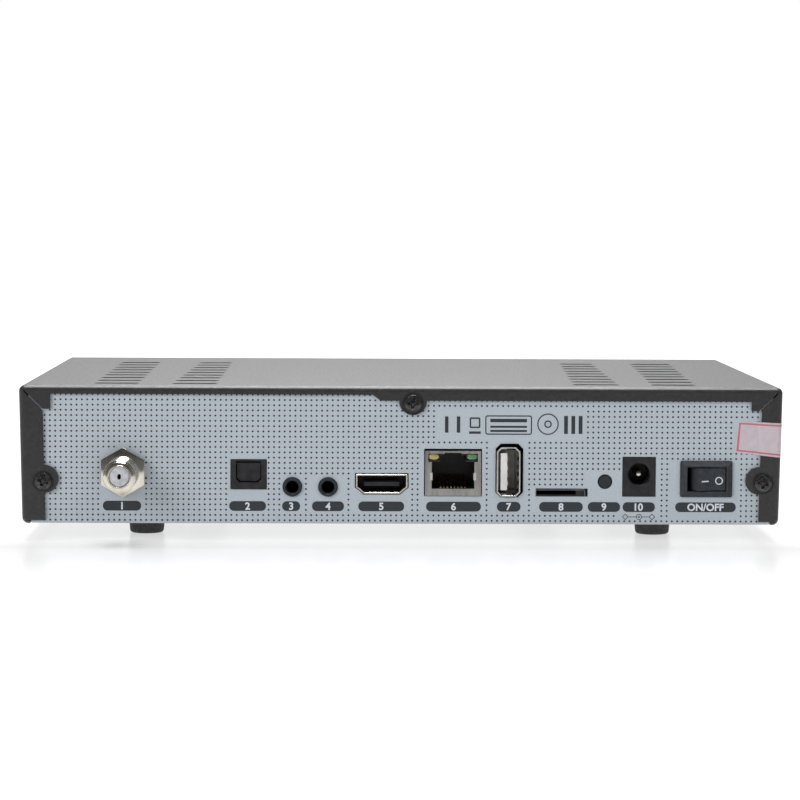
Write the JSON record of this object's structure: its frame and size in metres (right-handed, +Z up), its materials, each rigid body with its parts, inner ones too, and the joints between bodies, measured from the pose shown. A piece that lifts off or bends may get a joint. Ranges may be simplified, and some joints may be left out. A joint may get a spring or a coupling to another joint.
{
  "type": "satellite television receiver",
  "caption": "Low steel-cased satellite television receiver with a vented folded cover, a rear connector panel, a rocker power switch and a moulded front with a display window.",
  "frame": {"origin": "on the ground under the middle of the overall box", "axes": "+Z up, the front panel faces -Y and the connector panel faces +Y, +X to the right seen from the front"},
  "size_m": [0.22, 0.1674, 0.0446],
  "materials": {
    "cover_paint": "fine textured dark grey powder coat",
    "tray_steel": "bare zinc-plated steel",
    "panel_print": "printed zinc-plated steel",
    "foot_rubber": "matt black",
    "black_screw": "glossy black zinc",
    "zinc_screw": "bright zinc",
    "nickel": "nickel plate",
    "tin_plate": "bright tin plate",
    "grey_insulator": "plain",
    "gilt": "gilt",
    "black_moulding": "fine grained black",
    "button_grey": "plain",
    "white_moulding": "plain",
    "clear_lens": "clear, lit red in use",
    "amber_pipe": "translucent amber",
    "green_pipe": "translucent green",
    "rocker_moulding": "satin black with pale marks",
    "wire_cover": "PVC",
    "circuit_board": "solder mask",
    "chip_resin": "moulded resin",
    "black_anodised": "black anodised",
    "can_sleeve": "shrink sleeve",
    "ferrite": "plain",
    "fascia_gloss": "gloss black",
    "smoked_window": "smoked",
    "cable_ribbon": "flat cable"
  },
  "bodies": {
    "case": {"av_jack": "black_moulding", "base_tray": "tray_steel", "board_chips": "chip_resin", "board_standoffs": "zinc_screw", "button_switches": "black_moulding", "cable_sockets": "white_moulding", "capacitors": "can_sleeve", "card_slot_base": "black_moulding", "card_slot_shell": "tin_plate", "connector_panel": "panel_print", "cover_screws": "black_screw", "display_board": "circuit_board", "display_window": "smoked_window", "ethernet_amber_light": "amber_pipe", "ethernet_contacts": "gilt", "ethernet_green_light": "green_pipe", "ethernet_insert": "black_moulding", "ethernet_shell": "tin_plate", "f_connector_body": "nickel", "f_connector_contact": "gilt", "f_connector_insulator": "grey_insulator", "f_connector_nut": "nickel", "f_connector_washer": "black_screw", "flat_cable": "cable_ribbon", "front_panel": "fascia_gloss", "hdmi_shell": "nickel", "hdmi_tongue": "black_moulding", "heatsink": "black_anodised", "inductors": "ferrite", "infrared_receiver": "chip_resin", "inner_screws": "zinc_screw", "led_display": "black_moulding", "main_board": "circuit_board", "optical_port_emitter": "clear_lens", "optical_port_housing": "black_moulding", "power_jack_body": "black_moulding", "power_jack_pin": "nickel", "recovery_switch_body": "black_moulding", "rubber_feet": "foot_rubber", "serial_jack": "black_moulding", "status_light": "clear_lens", "switch_housing": "black_moulding", "switch_terminals": "gilt", "switch_wires": "wire_cover", "top_cover": "cover_paint", "tuner_board": "circuit_board", "tuner_frame": "tin_plate", "tuner_lid": "tin_plate", "usb_contacts": "gilt", "usb_shell": "tin_plate", "usb_tongue": "white_moulding"},
    "rocker": {"switch_rocker": "rocker_moulding"},
    "recovery": {"recovery_button": "button_grey"},
    "shutter": {"optical_port_shutter": "black_moulding"},
    "power_key": {"power_button": "fascia_gloss", "power_plunger": "white_moulding"},
    "channel_up_key": {"channel_up_button": "fascia_gloss", "channel_up_plunger": "white_moulding"},
    "channel_down_key": {"channel_down_button": "fascia_gloss", "channel_down_plunger": "white_moulding"}
  },
  "joints": [
    {"name": "rocker_tilt", "type": "hinge", "parent": "case", "child": "rocker", "pos_m": [-0.08805, 0.06359, 0.0182], "axis": [0, 0, -1], "range_deg": [0, 25]},
    {"name": "recovery_press", "type": "slide", "parent": "case", "child": "recovery", "axis": [0, -1, 0], "range_m": [0, 0.00035], "stiffness_N_per_m": 400, "springref_m": -0.002},
    {"name": "power_press", "type": "slide", "parent": "case", "child": "power_key", "axis": [0, 1, 0], "range_m": [0, 0.0004], "stiffness_N_per_m": 400, "springref_m": -0.002},
    {"name": "channel_up_press", "type": "slide", "parent": "case", "child": "channel_up_key", "axis": [0, 1, 0], "range_m": [0, 0.0004], "stiffness_N_per_m": 400, "springref_m": -0.002},
    {"name": "channel_down_press", "type": "slide", "parent": "case", "child": "channel_down_key", "axis": [0, 1, 0], "range_m": [0, 0.0004], "stiffness_N_per_m": 400, "springref_m": -0.002},
    {"name": "shutter_swing", "type": "hinge", "parent": "case", "child": "shutter", "pos_m": [0.044, 0.06665, 0.02225], "axis": [-1, 0, 0], "range_deg": [0, 75], "stiffness_Nm_per_rad": 0.0003, "springref_deg": -34.38}
  ]
}
